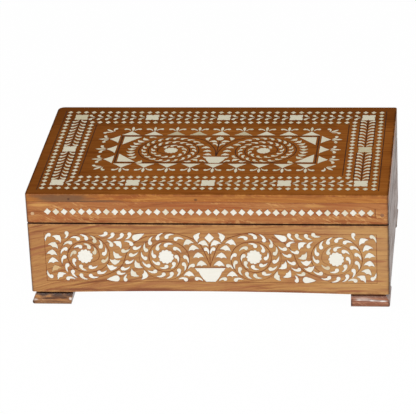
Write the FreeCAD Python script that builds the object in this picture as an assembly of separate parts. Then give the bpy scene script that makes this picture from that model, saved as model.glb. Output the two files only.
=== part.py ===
import FreeCAD
import Part
import math
import os
import random

# Wooden box with a hinged lid, inlaid with bone. Millimetres, +Z up, +X to the right, front towards -Y.
# The origin is on the table, under the middle of the box.

V = FreeCAD.Vector
TOUCH = 1e-4                    # two places this close are the same place

# Boards
WIDTH = 305.0
DEPTH = 190.0
WALL = 11.0                     # base walls and lid rails
BASE_HEIGHT = 63.6
PARTING_GAP = 1.3               # between the rim of the base and the lid at rest
RAIL_HEIGHT = 19.3
TOP_THICKNESS = 7.2
BOTTOM_THICKNESS = 6.0
BOTTOM_RABBET = 5.0             # how far the bottom board reaches into each wall
BOTTOM_CLEARANCE = 0.2
CORNER_ROUND = 2.2              # upright corners
WORN_ROUND = 6.0                # back left corner of the lid, worn round
ARRIS_ROUND = 0.6               # edges along the parting line and round the lid top
SEAM_ROUND = 0.35               # edges along the glued seam under the lid top
FRONT_HOLLOW = 1.6              # rise of the lower edge of the front board between the feet

# Feet
FOOT_HEIGHT = 12.7
FOOT_SIDE = 33.0
FOOT_STEP = 6.0                 # how far the top of a foot stands back from the faces of the box
FOOT_SWELL = 0.7                # how far the slope above the nose bulges
FOOT_NOSE = 3.0                 # radius of the rounded lower edge
FOOT_LEAN = 2.4                 # the inner end of the front left foot is sawn out of square

# Pegs, dowels and pins of the joinery
PEG_RADIUS = 1.5
PEG_DEPTH = 15.0                # into the end of a lid side rail
PEG_DROP = 1.2                  # below the middle of the rail
DOWEL_RADIUS = 3.0
DOWEL_IN_BOARD = 6.5            # blind, into the back of the front or back board
DOWEL_IN_END = 16.5             # into the end of a side board
DOWEL_ROOM = 0.5                # left over at each end of a dowel hole
DOWEL_ROWS = 3
PIN_SHANK = 0.8
PIN_HEAD = 1.6
PIN_HEAD_HEIGHT = 0.7
PIN_LENGTH = 14.0
PIN_PITCH = 62.0
PEG_FIT = 0.05                  # radial room round pegs, dowels, pins and screws

# Hinges
HINGE_FROM_MIDDLE = 95.0
HINGE_LENGTH = 38.0
HINGE_INSET = 2.7               # hinge axis to the back face of the box
KNUCKLES = 5
KNUCKLE_RADIUS = 2.2
KNUCKLE_GAP = 0.25              # endways, between knuckles
KNUCKLE_ROOM = 0.4              # round the knuckles, in the wood and at the leaves
HINGE_PIN_RADIUS = 1.0
HINGE_PIN_FIT = 0.05
LEAF_THICKNESS = 1.2
LEAF_MARGIN = 1.2               # from the leaf to the inner face of the wall
LEAF_FIT = 0.15
BEVEL_ANGLE = 50.5              # of the back edges that stop the open lid
SCREW_HEAD = 1.5
SCREW_SHANK = 0.8
SCREW_HEAD_HEIGHT = 0.8
SCREW_LENGTH = 8.0
SCREW_TIP = 1.5
SCREW_SLOT = 0.4
SCREWS_PER_LEAF = 3
SCREW_END = 6.0                 # first screw to the end of the leaf

# Bone
BONE_THICKNESS = 1.3
BONE_PROUD = 0.06               # how far the bone stands above the shrunken wood
LAC_LINE = 0.16                 # dark glue line round each piece of bone
LEAST_WOOD = 0.3                # least wood left between two pieces
FACE_MARGIN = 2.5               # least distance from a piece to the edge of its face
FRONT_OFFSET = 1.7              # patterns of the front and of the rail right of the middle
PANEL_OFFSET = 1.0              # panel of the lid top right of the middle
HAND_SLIP = 0.16                # unevenness of hand cutting, of a piece
END_SLIP = 0.22                 # and of its ends
OUTLINE_POINTS = 24             # places on an outline where its distance to others is measured

# Inlay of the lid top, each row measured in from the edge of the lid
OUTER_ROW = 12.7
BAND_ROW = 24.1
INNER_ROW = 35.5
TRIANGLE_FIELD = 30.6           # from the inner row of diamonds to the border of the panel
TOP_DIAMOND = (4.7, 5.4)
TOP_DIAMOND_PITCH = 7.1
NOTCHED_SQUARE = 11.4
SQUARE_NOTCH = 1.1
SQUARES_ON_LONG_BAND = 5
SQUARES_ON_SHORT_BAND = 3
CHEVRON_PITCH = 6.9
CHEVRON_REACH = 4.3             # from the middle of the band to a leaf's head
CHEVRON_SWEEP = 4.2             # how far the heads trail behind the tip
CHEVRON_HEAD = 3.0
FERN_PITCH = 6.2
FERN_REACH = 4.9
FERN_SWEEP = 4.0
BAND_STEM = 0.9                 # from the middle of a band to a leaf's tail
BAND_LEAD = 0.8                 # how far the leaves sit ahead of their places
BAND_BOW = 0.14                 # bow of a band leaf, as a share of its length
TRIANGLE_BASE = 16.0
TRIANGLE_HEIGHT = 8.4
TRIANGLE_PITCH = 19.8
TRIANGLE_OFF_PANEL = 2.2
TRIANGLE_HOLLOW = 0.55
SIDE_TRIANGLE_PITCH = 21.8
PETAL_LENGTH = 9.0
PETAL_WIDTH = 2.5
SPRIG_SPREAD = 6.3
SPRIG_RISE = 4.6
PETAL_OFF = 0.8                 # from the root of a sprig to its petal
SPRIG_ROOT = (0.6, 1.65)        # tail of a sprig's side leaf, along and across
SPRIG_BOW = 0.2
CORNER_SPRIG = (9.0, 8.0)       # roots of the corner sprigs, out from the corner of the panel
PANEL_CORNER = (15.0, 16.5)
PANEL_CORNER_INSET = 2.0
SCROLL_FROM_MIDDLE = 40.1
SCROLL_DROP = 2.7               # scroll centres below the middle of the panel
SCROLL_RADIUS = 27.4            # first leaf of the spiral
SCROLL_PITCH = 8.2              # how far the spiral closes in one turn
SCROLL_START = 40.0             # degrees
SCROLL_LEAF_PITCH = 7.0
SCROLL_LEAF_REACH = 2.3         # half the length of a leaf along the spiral
SCROLL_TAIL_OUT = 1.6           # how far its tail stands outside the spiral
SCROLL_HEAD_IN = 0.8            # and its head inside
SCROLL_HEAD = 2.9
OUTSIDE_BELLS = 10
OUTSIDE_BELL_RADIUS = 35.0
OUTSIDE_BELL_START = 137.0      # degrees
OUTSIDE_BELL_STEP = 9.9
TOP_ROSETTE = 5.9               # radius
FRONT_ROSETTE = 6.5
ROSETTE_LOBES = 11
ROSETTE_SCALLOP = 1.05
BELL = (9.1, 5.0)
SMALL_BELL = (7.4, 4.2)
BELL_SHOULDER = (0.32, 0.55)    # shares of half the height and half the width of a bell
BELL_HOLLOW = (0.72, 0.5)
BELL_TONGUE = 1.1
TOP_VASE = (22.8, 13.0, 8.0)    # rim, height, foot
VASE_LIP = 3.0
VASE_STEP = 0.9
VASE_SWELL = 0.7
TOP_VASE_RIM = -16.2            # level of the rim from the middle of the panel
BUD_LEVEL = 23.8

# Inlay of the lid front
LID_ROW_FROM_END = 16.8
LID_ROW_RISE = 0.7              # above the middle of the rail
LID_DIAMOND = 5.8
LID_DIAMOND_PITCH = 7.15
LID_DIAMOND_TURN = 5.0          # most that a diamond is turned, in degrees

# Inlay of the base front, places measured from the middle of the field or from its end
FIELD_FROM_END = 12.4
FIELD_RISE = 1.15               # middle of the field above the middle of the board
ROSETTE_LINE = 1.0              # rosettes above the middle of the field
INNER_SCROLL = 37.2             # from the middle of the field
OUTER_SCROLL = 33.9             # from the end of the field
INNER_RING = (13.5, 11.4, 2.7, 28.0, 45.0)   # first and last tail radius, head inside tail, sweep, step
OUTER_RING = (22.2, 19.6, 3.5, 17.0, 24.8)
OUTER_SCROLL_LEAVES = (7, 14)   # in the inner and the outer ring
INNER_SCROLL_LEAVES = (8, 13)
OUTER_SCROLL_STARTS = ((40.4, 36.6), (20.4, 28.6))     # left and right scroll, inner and outer ring, in
INNER_SCROLL_STARTS = ((15.4, 44.6), (24.4, 52.6))     # degrees from the side facing the middle or the end
OUTER_SCROLL_SAG = (0.2, 1.4)   # left and right outer scroll, below the line of the rosettes
LEAF_HEAD = 3.4
LEAF_BOW = 0.18
LEAF_WAIST = 0.46               # of the head
LEAF_NOTCH = 35.0               # degrees from the back of the head to the inner end of the tail
TEARDROP_WAIST = 0.62           # of the head
TEARDROP_HEAD = 5.7
BORDER_BELLS = 6
BORDER_BELL_RADIUS = 28.2
BORDER_BELL_SPAN = 76.0
FRONT_VASE = (26.0, 12.6, 8.0)
FRONT_VASE_TOP = -9.6
FRONT_DIAMOND = (8.0, 8.6)
FRONT_DIAMOND_LEVEL = 18.6

# Levels and faces worked out from the sizes
FRONT = -DEPTH / 2
BACK = DEPTH / 2
SIDE = WIDTH / 2
RIM = FOOT_HEIGHT + BASE_HEIGHT
LID_BOTTOM = RIM + PARTING_GAP
SEAM = LID_BOTTOM + RAIL_HEIGHT
LID_TOP = SEAM + TOP_THICKNESS
AXIS_Y = BACK - HINGE_INSET
AXIS_Z = RIM + PARTING_GAP / 2
BOTTOM_X = SIDE - WALL + BOTTOM_RABBET
BOTTOM_Y = BACK - WALL + BOTTOM_RABBET

hand = random.Random(11)


def save(node, solids):
    """Writes one node, a single solid or a group of like solids."""
    shape = solids[0] if len(solids) == 1 else Part.makeCompound(solids)
    shape.exportStep(os.path.join("parts", node + ".step"))


def box(x0, x1, y0, y1, z0, z1):
    return Part.makeBox(x1 - x0, y1 - y0, z1 - z0, V(x0, y0, z0))


def rod(start, direction, length, radius):
    return Part.makeCylinder(radius, length, V(*start), V(*direction))


def outer_edges(solid, level):
    """Edges at one level that lie on the outside of the box, not on an inner face."""
    found = []
    for edge in solid.Edges:
        bounds = edge.BoundBox
        if abs(bounds.ZMin - level) > TOUCH or abs(bounds.ZMax - level) > TOUCH:
            continue
        middle = bounds.Center
        if abs(middle.x) > SIDE - WORN_ROUND or abs(middle.y) > BACK - WORN_ROUND:
            found.append(edge)
    return found


def board(x0, x1, y0, y1, z0, z1, lower_round, upper_round, back_left_round=CORNER_ROUND):
    """A board whose corners and outer edges are eased where they lie on the outside of the box."""
    solid = box(x0, x1, y0, y1, z0, z1)
    plain, worn = [], []
    for edge in solid.Edges:
        middle = edge.BoundBox.Center
        if abs(abs(middle.x) - SIDE) < TOUCH and abs(abs(middle.y) - BACK) < TOUCH:
            (worn if middle.x < 0 < middle.y else plain).append(edge)
    for edges, radius in ((plain, CORNER_ROUND), (worn, back_left_round)):
        if edges:
            solid = solid.makeFillet(radius, edges)
    for level, radius in ((z0, lower_round), (z1, upper_round)):
        if radius > 0:
            solid = solid.makeFillet(radius, outer_edges(solid, level))
    return solid


def foot(side_x, side_y):
    """Square block with a swelling slope and a rounded nose on its two outer faces, mitred at the corner."""
    shoulder = V(0, FOOT_STEP, FOOT_HEIGHT)
    centre = V(0, FOOT_NOSE, FOOT_NOSE)
    to_shoulder = shoulder - centre
    lean = math.atan2(to_shoulder.z, to_shoulder.y) + math.acos(FOOT_NOSE / to_shoulder.Length)
    outward = V(0, math.cos(lean), math.sin(lean))
    nose_end = centre + outward * FOOT_NOSE
    swell = (nose_end + shoulder) * 0.5 + outward * FOOT_SWELL
    profile = [
        Part.makeLine(V(0, FOOT_SIDE, 0), V(0, FOOT_NOSE, 0)),
        Part.Arc(V(0, FOOT_NOSE, 0), V(0, 0, FOOT_NOSE), nose_end).toShape(),
        Part.Arc(nose_end, swell, shoulder).toShape(),
        Part.makeLine(shoulder, V(0, FOOT_SIDE, FOOT_HEIGHT)),
        Part.makeLine(V(0, FOOT_SIDE, FOOT_HEIGHT), V(0, FOOT_SIDE, 0)),
    ]
    leaning = FOOT_LEAN if (side_x, side_y) == (-1, -1) else 0.0
    along_x = Part.Face(Part.Wire(profile)).extrude(V(FOOT_SIDE + leaning, 0, 0))
    end_cut = [V(0, 0, 0), V(FOOT_SIDE, 0, 0), V(FOOT_SIDE + leaning, 0, FOOT_HEIGHT), V(0, 0, FOOT_HEIGHT)]
    sawn = Part.Face(Part.makePolygon(end_cut + end_cut[:1])).extrude(V(0, FOOT_SIDE, 0))
    along_y = Part.Face(Part.Wire(profile)).extrude(V(FOOT_SIDE, 0, 0)).mirror(V(0, 0, 0), V(1, -1, 0))
    if leaning:
        along_y = along_y.fuse(box(FOOT_SIDE, FOOT_SIDE + leaning, 0, FOOT_SIDE, 0, FOOT_HEIGHT))
    block = along_x.common(along_y).common(sawn).removeSplitter()
    if side_x > 0:
        block = block.mirror(V(0, 0, 0), V(1, 0, 0))
    if side_y > 0:
        block = block.mirror(V(0, 0, 0), V(0, 1, 0))
    return block.translated(V(side_x * SIDE, side_y * BACK, 0))


def front_hollow():
    """What is planed from the lower edge of the front board, so that it rises between the feet."""
    reach = SIDE - FOOT_SIDE - FOOT_LEAN
    ends = V(-reach, FRONT, FOOT_HEIGHT), V(reach, FRONT, FOOT_HEIGHT)
    arch = Part.Arc(ends[0], V(0, FRONT, FOOT_HEIGHT + FRONT_HOLLOW), ends[1]).toShape()
    return Part.Face(Part.Wire([arch, Part.makeLine(ends[1], ends[0])])).extrude(V(0, WALL, 0))


def pegs(room):
    """Pegs through the front and back lid rails into the ends of the side rails."""
    level = LID_BOTTOM + RAIL_HEIGHT / 2 - PEG_DROP
    made = []
    for x in (-SIDE + WALL / 2, SIDE - WALL / 2):
        for y, way in ((FRONT, 1), (BACK, -1)):
            made.append(rod((x, y, level), (0, way, 0), WALL + PEG_DEPTH + room, PEG_RADIUS + room))
    return made


def dowels(room, end_room):
    """Hidden dowels between the base front and back boards and the ends of the side boards."""
    made = []
    for x in (-SIDE + WALL / 2, SIDE - WALL / 2):
        for y, way in ((FRONT + WALL, 1), (BACK - WALL, -1)):
            for row in range(DOWEL_ROWS):
                level = FOOT_HEIGHT + BASE_HEIGHT * (row + 1) / (DOWEL_ROWS + 1)
                start = y - way * (DOWEL_IN_BOARD + end_room)
                length = DOWEL_IN_BOARD + DOWEL_IN_END + 2 * end_room
                made.append(rod((x, start, level), (0, way, 0), length, DOWEL_RADIUS + room))
    return made


def bottom_pins(room):
    """Headed pins driven up through the edge of the bottom board into the walls."""
    line_x = BOTTOM_X - BOTTOM_RABBET / 2
    line_y = BOTTOM_Y - BOTTOM_RABBET / 2
    places = []
    for length, across, turned in ((line_x, line_y, False), (line_y, line_x, True)):
        count = max(2, round(2 * length / PIN_PITCH))
        for k in range(count):
            at = -length + 2 * length * (k + 0.5) / count
            for side in (-across, across):
                places.append((side, at) if turned else (at, side))
    made = []
    for x, y in places:
        head = rod((x, y, FOOT_HEIGHT), (0, 0, 1), PIN_HEAD_HEIGHT + room, PIN_HEAD + room)
        shank = rod((x, y, FOOT_HEIGHT), (0, 0, 1), PIN_LENGTH + room, PIN_SHANK + room)
        made.append(head.fuse(shank).removeSplitter())
    return made


def screw_places(hinge_x):
    inner = BACK - WALL + LEAF_MARGIN
    outer = AXIS_Y - KNUCKLE_RADIUS - KNUCKLE_ROOM
    first = hinge_x - HINGE_LENGTH / 2 + SCREW_END
    step = (HINGE_LENGTH - 2 * SCREW_END) / (SCREWS_PER_LEAF - 1)
    return [(first + k * step, (inner + outer) / 2) for k in range(SCREWS_PER_LEAF)]


def screw(x, y, way, room):
    """Countersunk wood screw, driven down into the base or up into the lid, or the hole for it."""
    level = AXIS_Z + way * PARTING_GAP / 2
    axis = V(0, 0, way)
    head = Part.makeCone(SCREW_HEAD + room, SCREW_SHANK + room, SCREW_HEAD_HEIGHT, V(x, y, level), axis)
    shank_end = SCREW_LENGTH - SCREW_TIP
    shank = Part.makeCylinder(SCREW_SHANK + room, shank_end, V(x, y, level), axis)
    tip_start = V(x, y, level + way * shank_end)
    tip = Part.makeCone(SCREW_SHANK + room, SCREW_SHANK / 4, SCREW_TIP + room, tip_start, axis)
    solid = head.fuse([shank, tip])
    if room > 0:
        return solid
    half = SCREW_SLOT / 2
    slot = box(x - SCREW_HEAD, x + SCREW_HEAD, y - half, y + half, level - half, level + half)
    return solid.cut(slot)


def hinge_screws(way):
    made = []
    for hinge_x in (-HINGE_FROM_MIDDLE, HINGE_FROM_MIDDLE):
        made += [screw(x, y, way, 0.0) for x, y in screw_places(hinge_x)]
    return made


def hinge_leaf(hinge_x, way):
    """Brass leaf with its knuckles. The base has the odd knuckles, the lid the ones between them."""
    near = AXIS_Z + way * PARTING_GAP / 2
    far = near + way * LEAF_THICKNESS
    low, high = min(near, far), max(near, far)
    start = hinge_x - HINGE_LENGTH / 2
    inner = BACK - WALL + LEAF_MARGIN
    outer = AXIS_Y - KNUCKLE_RADIUS - KNUCKLE_ROOM
    solid = box(start, start + HINGE_LENGTH, inner, outer, low, high)
    pitch = HINGE_LENGTH / KNUCKLES
    own = range(0, KNUCKLES, 2) if way < 0 else range(1, KNUCKLES, 2)
    for k in own:
        x0 = start + k * pitch + (KNUCKLE_GAP / 2 if k else 0.0)
        x1 = start + (k + 1) * pitch - (KNUCKLE_GAP / 2 if k < KNUCKLES - 1 else 0.0)
        tab = box(x0, x1, outer, AXIS_Y, low, high)
        solid = solid.fuse([tab, rod((x0, AXIS_Y, AXIS_Z), (1, 0, 0), x1 - x0, KNUCKLE_RADIUS)])
    solid = solid.cut(rod((start, AXIS_Y, AXIS_Z), (1, 0, 0), HINGE_LENGTH, HINGE_PIN_RADIUS + HINGE_PIN_FIT))
    for x, y in screw_places(hinge_x):
        solid = solid.cut(screw(x, y, way, PEG_FIT))
    return solid.removeSplitter()


def hinge_room(way):
    """What is cut from the back board or the back rail: seats for the leaves, troughs for the
    knuckles, screw holes, and the bevel along the edge."""
    near = AXIS_Z + way * PARTING_GAP / 2
    seat = near + way * LEAF_THICKNESS
    beyond = near - way * PARTING_GAP
    inner = BACK - WALL + LEAF_MARGIN - LEAF_FIT
    cuts = []
    for hinge_x in (-HINGE_FROM_MIDDLE, HINGE_FROM_MIDDLE):
        x0 = hinge_x - HINGE_LENGTH / 2 - LEAF_FIT
        x1 = hinge_x + HINGE_LENGTH / 2 + LEAF_FIT
        cuts.append(box(x0, x1, inner, AXIS_Y, min(seat, beyond), max(seat, beyond)))
        cuts.append(rod((x0, AXIS_Y, AXIS_Z), (1, 0, 0), x1 - x0, KNUCKLE_RADIUS + KNUCKLE_ROOM))
        cuts += [screw(x, y, way, PEG_FIT) for x, y in screw_places(hinge_x)]
    past = BACK + WALL
    fall = (past - AXIS_Y) * math.tan(math.radians(BEVEL_ANGLE))
    corner = [V(-SIDE, AXIS_Y, near), V(-SIDE, past, near), V(-SIDE, past, near + way * fall)]
    cuts.append(Part.Face(Part.makePolygon(corner + corner[:1])).extrude(V(WIDTH, 0, 0)))
    return cuts


def polar(centre, radius, degrees):
    turn = math.radians(degrees)
    return (centre[0] + radius * math.cos(turn), centre[1] + radius * math.sin(turn))


def polygon(points):
    corners = [V(x, y, 0) for x, y in points]
    return Part.makePolygon(corners + corners[:1])


def arcs(points):
    """Closed outline of arcs: the points are in turn an end and the middle of an arc."""
    ring = [V(x, y, 0) for x, y in points]
    ring.append(ring[0])
    ends = range(0, len(points), 2)
    return Part.Wire([Part.Arc(ring[k], ring[k + 1], ring[k + 2]).toShape() for k in ends])


def placed(points, at, degrees):
    """Points of an outline drawn pointing along +X, turned and moved to their place."""
    turn = math.radians(degrees)
    c, s = math.cos(turn), math.sin(turn)
    return [(at[0] + x * c - y * s, at[1] + x * s + y * c) for x, y in points]


def diamond(at, across, along, degrees=0.0):
    a, b = across / 2, along / 2
    return polygon(placed([(a, 0), (0, b), (-a, 0), (0, -b)], at, degrees))


def pointing(tail, head):
    """Length and angle of the line from the tail of a piece to its head."""
    return math.dist(tail, head), math.degrees(math.atan2(head[1] - tail[1], head[0] - tail[0]))


def leaf(tail, head, width, bow):
    """Comma leaf: a round head with a slender tail on its outer side that runs out to a point. It is
    bowed by a share of its length, to the left, or to the right if the share is negative."""
    length, degrees = pointing(tail, head)
    half = width / 2
    sag = abs(bow) * length
    lean = 2 * math.degrees(math.atan2(2 * sag, length))
    waist = half * LEAF_WAIST
    notch, far, outside = (polar((length, 0), half, a - lean) for a in (180 + LEAF_NOTCH, -45, 90))
    drawn = [(0, 0), (length / 2, sag - waist), notch, far, outside, (length / 2, sag + waist)]
    way = math.copysign(1, bow)
    return arcs(placed([(x, way * y) for x, y in drawn], tail, degrees))


def teardrop(tip, head, width):
    """Straight leaf with a round head and a point."""
    length, degrees = pointing(tip, head)
    half = width / 2
    waist = half * TEARDROP_WAIST
    drawn = [(0, 0), (length / 2, -waist), (length, -half), (length + half, 0), (length, half),
             (length / 2, waist)]
    return arcs(placed(drawn, tip, degrees))


def bell(at, size, degrees):
    """Three-cornered leaf with two hanging tips, its rounded crown pointing along the angle."""
    wide, high = size[0] / 2, size[1] / 2
    shoulder = (high * BELL_SHOULDER[0], wide * BELL_SHOULDER[1])
    hollow = (-high * BELL_HOLLOW[0], wide * BELL_HOLLOW[1])
    drawn = [
        (-high, wide), shoulder, (high, 0), (shoulder[0], -shoulder[1]),
        (-high, -wide), (hollow[0], -hollow[1]), (-high * BELL_TONGUE, 0), hollow,
    ]
    return arcs(placed(drawn, at, degrees))


def petal(tip_a, tip_b, width):
    length, degrees = pointing(tip_a, tip_b)
    drawn = [(0, 0), (length / 2, -width / 2), (length, 0), (length / 2, width / 2)]
    return arcs(placed(drawn, tip_a, degrees))


def rosette(at, outer):
    points = []
    step = 180.0 / ROSETTE_LOBES
    for k in range(2 * ROSETTE_LOBES):
        radius = outer - ROSETTE_SCALLOP if k % 2 == 0 else outer
        points.append(polar(at, radius, k * step))
    return arcs(points)


def notched_square(at, degrees):
    half, cut = NOTCHED_SQUARE / 2, SQUARE_NOTCH
    points = []
    for quarter in range(4):
        side = [(half, -half), (half, -cut), (half - cut, 0), (half, cut)]
        points += placed(side, (0, 0), 90 * quarter)
    return polygon(placed(points, at, degrees))


def triangle(base_middle, degrees):
    """Triangle that points along the angle, its two long sides slightly hollow."""
    a, h = TRIANGLE_BASE / 2, TRIANGLE_HEIGHT
    drawn = placed([(0, a), (0, -a), (h / 2 - TRIANGLE_HOLLOW, -a / 2), (h, 0),
                    (h / 2 - TRIANGLE_HOLLOW, a / 2)], base_middle, degrees)
    corners = [V(x, y, 0) for x, y in drawn]
    edges = [Part.makeLine(corners[0], corners[1])]
    edges.append(Part.Arc(corners[1], corners[2], corners[3]).toShape())
    edges.append(Part.Arc(corners[3], corners[4], corners[0]).toShape())
    return Part.Wire(edges)


def vase(rim_middle, size):
    """Flared bowl with a lip, seen from the side."""
    rim, height, foot_width = size[0] / 2, size[1], size[2] / 2
    neck = rim - VASE_LIP
    belly = ((neck + foot_width) / 2 + VASE_SWELL, -(VASE_LIP + height) / 2)
    right = [(rim, 0), (neck + VASE_STEP, -VASE_LIP), (neck, -VASE_LIP), belly, (foot_width, -height)]
    left = [(-x, y) for x, y in reversed(right)]
    points = [V(rim_middle[0] + x, rim_middle[1] + y, 0) for x, y in right + left]
    return Part.Wire([
        Part.makeLine(points[0], points[1]), Part.makeLine(points[1], points[2]),
        Part.Arc(points[2], points[3], points[4]).toShape(), Part.makeLine(points[4], points[5]),
        Part.Arc(points[5], points[6], points[7]).toShape(), Part.makeLine(points[7], points[8]),
        Part.makeLine(points[8], points[9]), Part.makeLine(points[9], points[0]),
    ])


class Field:
    """One inlaid face. Pieces are outlines in the plane of the face, about its middle. A piece that
    would leave too little wood beside its neighbours or at the edge is not cut."""

    def __init__(self, half_width, half_height, offset=0.0):
        self.reach = (half_width - FACE_MARGIN, half_height - FACE_MARGIN)
        self.offset = offset
        self.nodes = {}
        self.taken = []

    def clear(self, points, bounds):
        if bounds.XMax > self.reach[0] or bounds.XMin < -self.reach[0]:
            return False
        if bounds.YMax > self.reach[1] or bounds.YMin < -self.reach[1]:
            return False
        room = LEAST_WOOD + 2 * LAC_LINE
        for other_points, other in self.taken:
            if other.XMin > bounds.XMax + room or other.XMax < bounds.XMin - room:
                continue
            if other.YMin > bounds.YMax + room or other.YMax < bounds.YMin - room:
                continue
            for p in points:
                if min((p.x - q.x) ** 2 + (p.y - q.y) ** 2 for q in other_points) < room ** 2:
                    return False
        return True

    def place(self, node, outline):
        slip = V(self.offset + hand.uniform(-HAND_SLIP, HAND_SLIP), hand.uniform(-HAND_SLIP, HAND_SLIP), 0)
        most_turn = math.degrees(2 * END_SLIP / outline.BoundBox.DiagonalLength)
        turned = outline.copy()
        turned.rotate(outline.BoundBox.Center, V(0, 0, 1), hand.uniform(-most_turn, most_turn))
        outline = turned.translated(slip)
        points = outline.discretize(OUTLINE_POINTS)
        if self.clear(points, outline.BoundBox):
            self.taken.append((points, outline.BoundBox))
            self.nodes.setdefault(node, []).append(outline)

    def bone(self, node, placement):
        solids = []
        for outline in self.nodes[node]:
            solid = Part.Face(outline).extrude(V(0, 0, BONE_THICKNESS))
            solid.translate(V(0, 0, BONE_PROUD - BONE_THICKNESS))
            solids.append(solid.transformed(placement.toMatrix()))
        return solids

    def pockets(self, placement):
        cuts = []
        for outlines in self.nodes.values():
            for outline in outlines:
                cut = Part.Face(outline).makeOffset2D(LAC_LINE).extrude(V(0, 0, 2 * BONE_THICKNESS))
                cut.translate(V(0, 0, BONE_PROUD - BONE_THICKNESS))
                cuts.append(cut.transformed(placement.toMatrix()))
        return Part.makeCompound(cuts)


def diamond_frame(field, node, half_x, half_y):
    """A rectangle of diamonds, one at each corner and the rest evenly between them."""
    for half, across, turned in ((half_x, half_y, False), (half_y, half_x, True)):
        count = round(2 * half / TOP_DIAMOND_PITCH)
        for k in range(1 if turned else 0, count if turned else count + 1):
            at = -half + 2 * half * k / count
            for side in (-across, across):
                place = (side, at) if turned else (at, side)
                field.place(node, diamond(place, TOP_DIAMOND[0], TOP_DIAMOND[1]))


def leaf_pairs(field, node, start, end, pitch, reach, sweep):
    """Pairs of leaves along a stretch of band, tails forward at the stem, heads behind at the edges."""
    length = math.dist(start, end)
    ahead = ((end[0] - start[0]) / length, (end[1] - start[1]) / length)
    degrees = math.degrees(math.atan2(ahead[1], ahead[0]))
    count = int(length / pitch)
    for k in range(count):
        along = length * (k + 0.5) / count
        at = (start[0] + ahead[0] * along, start[1] + ahead[1] * along)
        for side in (1, -1):
            ends = [(BAND_LEAD + sweep / 2, side * BAND_STEM), (BAND_LEAD - sweep / 2, side * reach)]
            tail, head = placed(ends, at, degrees)
            field.place(node, leaf(tail, head, CHEVRON_HEAD, side * BAND_BOW))


def band(field):
    """Notched squares round the lid with runs of paired leaves between them, all going clockwise."""
    x, y = SIDE - BAND_ROW, BACK - BAND_ROW
    long_step = 2 * x / (SQUARES_ON_LONG_BAND - 1)
    short_step = 2 * y / (SQUARES_ON_SHORT_BAND - 1)
    for k in range(SQUARES_ON_LONG_BAND):
        for side in (y, -y):
            field.place("top_squares", notched_square((-x + k * long_step, side), 0))
    for k in range(1, SQUARES_ON_SHORT_BAND - 1):
        for side in (x, -x):
            field.place("top_squares", notched_square((side, -y + k * short_step), 0))
    clear = NOTCHED_SQUARE / 2 + LEAST_WOOD
    chevron = (CHEVRON_PITCH, CHEVRON_REACH, CHEVRON_SWEEP)
    fern = (FERN_PITCH, FERN_REACH, FERN_SWEEP)
    for k in range(SQUARES_ON_LONG_BAND - 1):
        low, high = -x + k * long_step + clear, -x + (k + 1) * long_step - clear
        leaf_pairs(field, "top_chevron_leaves", (low, y), (high, y), *chevron)
        leaf_pairs(field, "top_chevron_leaves", (high, -y), (low, -y), *chevron)
    for k in range(SQUARES_ON_SHORT_BAND - 1):
        low, high = -y + k * short_step + clear, -y + (k + 1) * short_step - clear
        leaf_pairs(field, "top_fern_leaves", (x, high), (x, low), *fern)
        leaf_pairs(field, "top_fern_leaves", (-x, low), (-x, high), *fern)


def sprig(field, root, degrees):
    """Three petals that grow from one point: a straight one and a comma leaf on each side."""
    tip_a, tip_b = placed([(PETAL_OFF, 0), (PETAL_OFF + PETAL_LENGTH, 0)], root, degrees)
    field.place("top_sprigs", petal(tip_a, tip_b, PETAL_WIDTH))
    for side in (1, -1):
        ends = [(SPRIG_ROOT[0], side * SPRIG_ROOT[1]), (SPRIG_RISE, side * SPRIG_SPREAD)]
        tail, head = placed(ends, root, degrees)
        field.place("top_sprigs", leaf(tail, head, CHEVRON_HEAD, -side * SPRIG_BOW))


def triangle_row(field, middle, length, pitch, degrees):
    """Triangles that stand in a row on one side of the panel, each with a sprig on its point."""
    count = round(length / pitch)
    for k in range(count):
        along = (k - (count - 1) / 2) * pitch
        base, root = placed([(0, along), (TRIANGLE_HEIGHT, along)], middle, degrees)
        field.place("top_triangles", triangle(base, degrees))
        sprig(field, root, degrees)


def top_scroll(field, side):
    """Rosette with comma leaves on an inward spiral and bells on the outside of the spiral. Drawn for
    the left scroll and mirrored for the right one."""
    centre = (side * SCROLL_FROM_MIDDLE, -SCROLL_DROP)
    node = "top_scroll_leaves_left" if side < 0 else "top_scroll_leaves_right"
    field.place("top_rosettes", rosette(centre, TOP_ROSETTE))
    angle = SCROLL_START
    radius = SCROLL_RADIUS
    while radius > TOP_ROSETTE + SCROLL_HEAD:
        half_sweep = math.degrees(SCROLL_LEAF_REACH / radius)
        tail = polar((0, 0), radius + SCROLL_TAIL_OUT, angle - half_sweep)
        head = polar((0, 0), radius - SCROLL_HEAD_IN, angle + half_sweep)
        tail = (centre[0] - side * tail[0], centre[1] + tail[1])
        head = (centre[0] - side * head[0], centre[1] + head[1])
        field.place(node, leaf(tail, head, SCROLL_HEAD, LEAF_BOW * side))
        step = math.degrees(SCROLL_LEAF_PITCH / radius)
        angle += step
        radius -= SCROLL_PITCH * step / 360.0
    for k in range(OUTSIDE_BELLS):
        angle = OUTSIDE_BELL_START + OUTSIDE_BELL_STEP * k
        at = polar((0, 0), OUTSIDE_BELL_RADIUS, angle)
        crown = angle + 90.0 if side < 0 else 90.0 - angle
        field.place("top_bells", bell((centre[0] - side * at[0], centre[1] + at[1]), SMALL_BELL, crown))


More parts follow.
